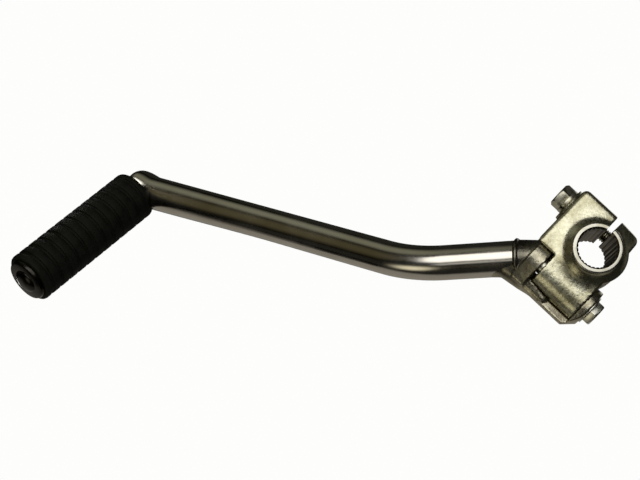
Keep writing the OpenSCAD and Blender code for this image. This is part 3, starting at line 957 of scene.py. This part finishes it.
def makeRubberSleeve():
    sleeve = turnedPiece("rubberSleeve", rubberSection(), steps=120, closed=True)
    # its inner end is moulded round the bar
    root, bend, elbow = (Vector(bar[k]) for k in ("root", "bend", "elbow"))
    second = (elbow - bend).normalized()
    dip = math.degrees(math.atan2(-second.y, second.x))
    bpy.ops.mesh.primitive_cylinder_add(vertices=96, radius=(bar["r"] + bar["grow"] + 0.04) * mm,
                                        depth=30 * mm)
    notch = newest("barTool")
    notch.matrix_world = turned(-90 + dip, "Y") @ Matrix.Translation((0, 0, 15 * mm))
    bpy.ops.object.transform_apply(location=True, rotation=True, scale=True)
    cutAway(sleeve, notch)
    bpy.ops.mesh.primitive_uv_sphere_add(segments=64, ring_count=32, radius=(bar["knuckleR"] + 0.04) * mm)
    hollow = newest("ballTool")
    out = math.radians((90 - dip) / 2)
    hollow.location = (bar["knuckleOut"] * math.cos(out) * mm, 0, bar["knuckleOut"] * math.sin(out) * mm)
    bpy.ops.object.transform_apply(location=True, rotation=True, scale=True)
    cutAway(sleeve, hollow)
    x, z = elbow
    place = barFrame @ Matrix.Translation((x * mm, 0, z * mm))
    finishPiece(sleeve, place, "arm", blackRubber, ["pedal_rubber"], angle=40)


def makeEndWasher():
    r, t, top = pedal["washerR"], pedal["washerT"], -pedal["end"]
    section = [(4.05, top), (r - 0.3, top), (r, top - 0.3), (r, top - t * 0.45), (r - 0.5, top - t * 0.85),
               (r - 1.4, top - t), (4.05, top - t)]
    disc = turnedPiece("endWasher", section, steps=96, closed=True)
    x, z = bar["elbow"]
    finishPiece(disc, barFrame @ Matrix.Translation((x * mm, 0, z * mm)), "arm", darkSteel,
                ["pedal_washer"])


makeRubberSleeve()
makeEndWasher()
print("pedal made")


# studio

studio = {
    "floorDrop": 0.34,
    "floorSize": 40,
    "cameraPlace": (-0.11406, -0.65702, -0.10771),
    "cameraTilt": 9.82,
    "lens": 89.18,
    "backdrop": (0.985, 0.985, 0.975),
    "room": (0.022, 0.022, 0.018),
    "ambient": (1.0, 1.0, 0.99),
    "centre": (-0.05, 0, 0),
    "cards": {
        # name: azimuth from the front (right is plus), elevation, distance,
        # width, height, fade, colour, power
        "frontCard": (-13, 16, 1.7, 3.1, 2.0, 0.4, (1.0, 0.99, 0.96), 2.15),
        "leftHighCard": (-80, 58, 1.5, 2.6, 1.3, 0.8, (0.62, 0.62, 0.46), 0.40),
        "leftLowCard": (-84, 16, 1.5, 2.8, 1.7, 0.8, (0.56, 0.49, 0.26), 0.16),
        "tableCard": (-172, -42, 1.2, 3.2, 2.5, 0.45, (0.90, 0.85, 0.74), 0.36),
        "sideCard": (-136, -20, 1.5, 1.7, 0.9, 0.6, (0.90, 0.83, 0.72), 0.36),
        "rightCard": (95, 5, 1.6, 1.4, 1.2, 0.8, (0.8, 0.78, 0.66), 0.17),
        "lowLeftCard": (-63, -38, 1.5, 1.25, 1.0, 0.8, (0.86, 0.80, 0.60), 1.45),
        "lowFrontCard": (-31, -19, 1.6, 0.55, 0.5, 0.9, (0.97, 0.96, 0.90), 0.9),
        "backCard": (142, 30, 1.6, 1.3, 1.1, 0.6, (1.0, 0.99, 0.96), 1.1),
    },
    # small ones close to the piece, which give the glints of the elbow and the end washer
    "closeCards": {
        # name: place, aim, direction of its width, size, power
        "elbowCard": ((-0.2555, 0.1045, 0.0731), (-0.2029, 0.1044, 0.0511), (-0.76, 0.57, 0.32),
                      (0.010, 0.07), 6),
        "washerCard": ((-0.2789, 0.1400, 0.0039), (-0.2584, 0.0837, 0.0018), (0, 0, 1), (0.02, 0.02), 3),
    },
}


def makeFloor():
    bpy.ops.mesh.primitive_plane_add(size=studio["floorSize"], location=(0, 0, -studio["floorDrop"]))
    floor = newest("studioFloor")
    bpy.ops.object.transform_apply(location=True, rotation=True, scale=True)
    mat, tree, shader, coords = newMaterial("paleFloor")
    noise = addNoise(tree, coords, 3, 2, 0.5)
    ramp = addRamp(tree, noise.outputs["Fac"], [(0.3, (0.84, 0.84, 0.83)), (0.7, (0.88, 0.88, 0.87))])
    tree.links.new(ramp.outputs["Color"], shader.inputs["Base Color"])
    shader.inputs["Roughness"].default_value = 0.9
    floor.data.materials.append(mat)
    floor.visible_glossy = False


# a glowing card that the camera doesn't see, only the metal
def makeCard(name, place, aim, width, height, fade, colour, power, along=None):
    bpy.ops.mesh.primitive_plane_add(size=1)
    card = newest(name)
    direction = (Vector(aim) - Vector(place)).normalized()
    turn = direction.to_track_quat("Z", "Y").to_matrix().to_4x4()
    if along:
        across = (Vector(along) - Vector(along).dot(direction) * direction).normalized()
        turn = Matrix((across, direction.cross(across), direction)).transposed().to_4x4()
    card.matrix_world = Matrix.Translation(place) @ turn @ Matrix.Diagonal((width, height, 1, 1))
    bpy.ops.object.transform_apply(location=True, rotation=True, scale=True)
    mat = bpy.data.materials.new(name)
    mat.use_nodes = True
    tree = mat.node_tree
    tree.nodes.remove(tree.nodes["Principled BSDF"])
    glow = tree.nodes.new("ShaderNodeEmission")
    glow.inputs["Color"].default_value = (*colour, 1)
    # it fades out towards its edges, as a softbox does
    coords = tree.nodes.new("ShaderNodeTexCoord")
    middle = tree.nodes.new("ShaderNodeMapping")
    middle.inputs["Location"].default_value = (-1, -1, 0)
    middle.inputs["Scale"].default_value = (2, 2, 2)
    tree.links.new(coords.outputs["UV"], middle.inputs["Vector"])
    falloff = tree.nodes.new("ShaderNodeTexGradient")
    falloff.gradient_type = "SPHERICAL"
    tree.links.new(middle.outputs["Vector"], falloff.inputs["Vector"])
    strength = tree.nodes.new("ShaderNodeMapRange")
    strength.interpolation_type = "SMOOTHSTEP"
    strength.inputs["From Max"].default_value = fade
    strength.inputs["To Max"].default_value = power
    tree.links.new(falloff.outputs["Fac"], strength.inputs["Value"])
    tree.links.new(strength.outputs["Result"], glow.inputs["Strength"])
    tree.links.new(glow.outputs["Emission"], tree.nodes["Material Output"].inputs["Surface"])
    card.data.materials.append(mat)
    card.visible_camera = False
    card.visible_shadow = False
    card.visible_diffuse = False


# soft light that falls on what is matt, and isn't mirrored in the metal
def makeLight(name, place, aim, size, power, colour=(1, 1, 1)):
    bpy.ops.object.light_add(type="AREA", location=place)
    light = bpy.context.object
    light.visible_glossy = False
    light.name = name
    light.data.energy = power
    light.data.size = size
    light.data.color = colour
    light.rotation_euler = (Vector(aim) - Vector(place)).to_track_quat("-Z", "Y").to_euler()


def makeWorld():
    world = bpy.data.worlds.new("studioWorld")
    bpy.context.scene.world = world
    world.use_nodes = True
    tree = world.node_tree
    seen = tree.nodes["Background"]
    seen.inputs["Color"].default_value = (*studio["backdrop"], 1)
    seen.inputs["Strength"].default_value = 1.0
    lit = tree.nodes.new("ShaderNodeBackground")
    lit.inputs["Color"].default_value = (*studio["room"], 1)
    lit.inputs["Strength"].default_value = 1.0
    # what is matt is lit evenly from all round, and the metal mirrors a dark room with the cards
    soft = tree.nodes.new("ShaderNodeBackground")
    soft.inputs["Color"].default_value = (*studio["ambient"], 1)
    soft.inputs["Strength"].default_value = 1.0
    ray = tree.nodes.new("ShaderNodeLightPath")
    matt = tree.nodes.new("ShaderNodeMixShader")
    tree.links.new(ray.outputs["Is Diffuse Ray"], matt.inputs["Fac"])
    tree.links.new(lit.outputs["Background"], matt.inputs[1])
    tree.links.new(soft.outputs["Background"], matt.inputs[2])
    mix = tree.nodes.new("ShaderNodeMixShader")
    tree.links.new(ray.outputs["Is Camera Ray"], mix.inputs["Fac"])
    tree.links.new(matt.outputs["Shader"], mix.inputs[1])
    tree.links.new(seen.outputs["Background"], mix.inputs[2])
    tree.links.new(mix.outputs["Shader"], tree.nodes["World Output"].inputs["Surface"])


def makeCamera():
    bpy.ops.object.camera_add(location=studio["cameraPlace"],
                              rotation=(math.radians(90 + studio["cameraTilt"]), 0, 0))
    camera = bpy.context.object
    camera.name = "studioCamera"
    camera.data.sensor_width = 36
    camera.data.lens = studio["lens"]
    camera.data.clip_start = 0.01
    camera.data.clip_end = 100
    bpy.context.scene.camera = camera


def makeCards():
    aim = Vector(studio["centre"])
    for name, (azimuth, elevation, far, width, height, fade, colour, power) in studio["cards"].items():
        a, e = math.radians(azimuth), math.radians(elevation)
        place = aim + far * Vector((math.sin(a) * math.cos(e), -math.cos(a) * math.cos(e), math.sin(e)))
        makeCard(name, place, aim, width, height, fade, colour, power)
    for name, (place, aim, along, size, power) in studio["closeCards"].items():
        makeCard(name, place, aim, *size, 0.6, (1, 1, 0.95), power, along)


makeFloor()
makeCards()
# name: place, aim, size, power
lights = {
    "keyLight": ((-0.5, -0.9, 0.9), (-0.1, 0, 0), 0.8, 4),
    "fillLight": ((0.9, -0.8, 0.3), (-0.05, 0, 0), 0.8, 2),
    "backLight": ((0.1, 1.1, 0.9), (-0.1, 0, 0), 1.0, 2),
}
for name, values in lights.items():
    makeLight(name, *values)
makeWorld()
makeCamera()
bpy.context.scene.view_settings.view_transform = "Standard"
bpy.context.scene.view_settings.look = "None"
print("studio made")
